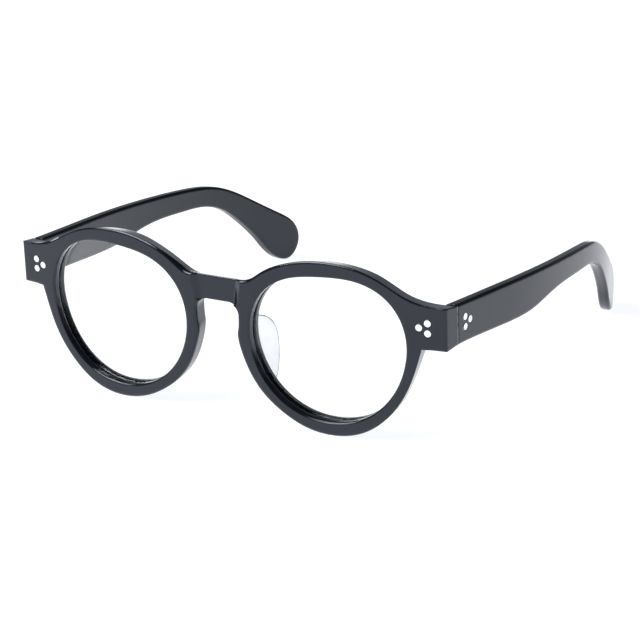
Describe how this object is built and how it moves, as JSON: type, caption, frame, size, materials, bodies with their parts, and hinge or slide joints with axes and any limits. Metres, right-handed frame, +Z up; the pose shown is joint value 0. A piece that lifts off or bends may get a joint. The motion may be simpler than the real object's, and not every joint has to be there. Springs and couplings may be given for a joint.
{
  "type": "eyeglasses",
  "caption": "Thick-rimmed round acetate eyeglasses with a keyhole bridge, clear lenses and nose pads, and temples that fold on riveted hinges.",
  "frame": {"origin": "middle of the bounding box seen from above, on the table that the rims and the temple tips stand on, temples open", "axes": "+Z up, -Y the way the wearer looks, +X the wearer's left"},
  "size_m": [0.1464, 0.1382, 0.051],
  "materials": {
    "acetate": "polished near-black cellulose acetate",
    "lens": "clear plastic demo lens",
    "clear_pad": "clear moulded nose pad",
    "steel": "plated hinge metal and core wire",
    "rivet": "bright polished rivet heads"
  },
  "bodies": {
    "front": {"front_frame": "acetate", "left_lens": "lens", "left_nose_pad": "clear_pad", "left_front_hinge_leaf": "steel", "left_hinge_screw": "steel", "left_front_rivet_upper": "rivet", "left_front_rivet_lower": "rivet", "left_front_rivet_inner": "rivet", "right_lens": "lens", "right_nose_pad": "clear_pad", "right_front_hinge_leaf": "steel", "right_hinge_screw": "steel", "right_front_rivet_upper": "rivet", "right_front_rivet_lower": "rivet", "right_front_rivet_inner": "rivet"},
    "left_arm": {"left_temple": "acetate", "left_core_wire": "steel", "left_temple_hinge_leaf": "steel", "left_temple_rivet_upper": "rivet", "left_temple_rivet_lower": "rivet", "left_temple_rivet_rear": "rivet"},
    "right_arm": {"right_temple": "acetate", "right_core_wire": "steel", "right_temple_hinge_leaf": "steel", "right_temple_rivet_upper": "rivet", "right_temple_rivet_lower": "rivet", "right_temple_rivet_rear": "rivet"}
  },
  "joints": [
    {"name": "left_arm_fold", "type": "hinge", "parent": "front", "child": "left_arm", "pos_m": [0.0654, -0.05586, 0.03502], "axis": [0, -0.0105, 0.9999], "range_deg": [0, 86]},
    {"name": "right_arm_fold", "type": "hinge", "parent": "front", "child": "right_arm", "pos_m": [-0.0654, -0.05586, 0.03502], "axis": [0, 0.0105, -0.9999], "range_deg": [0, 77]}
  ]
}
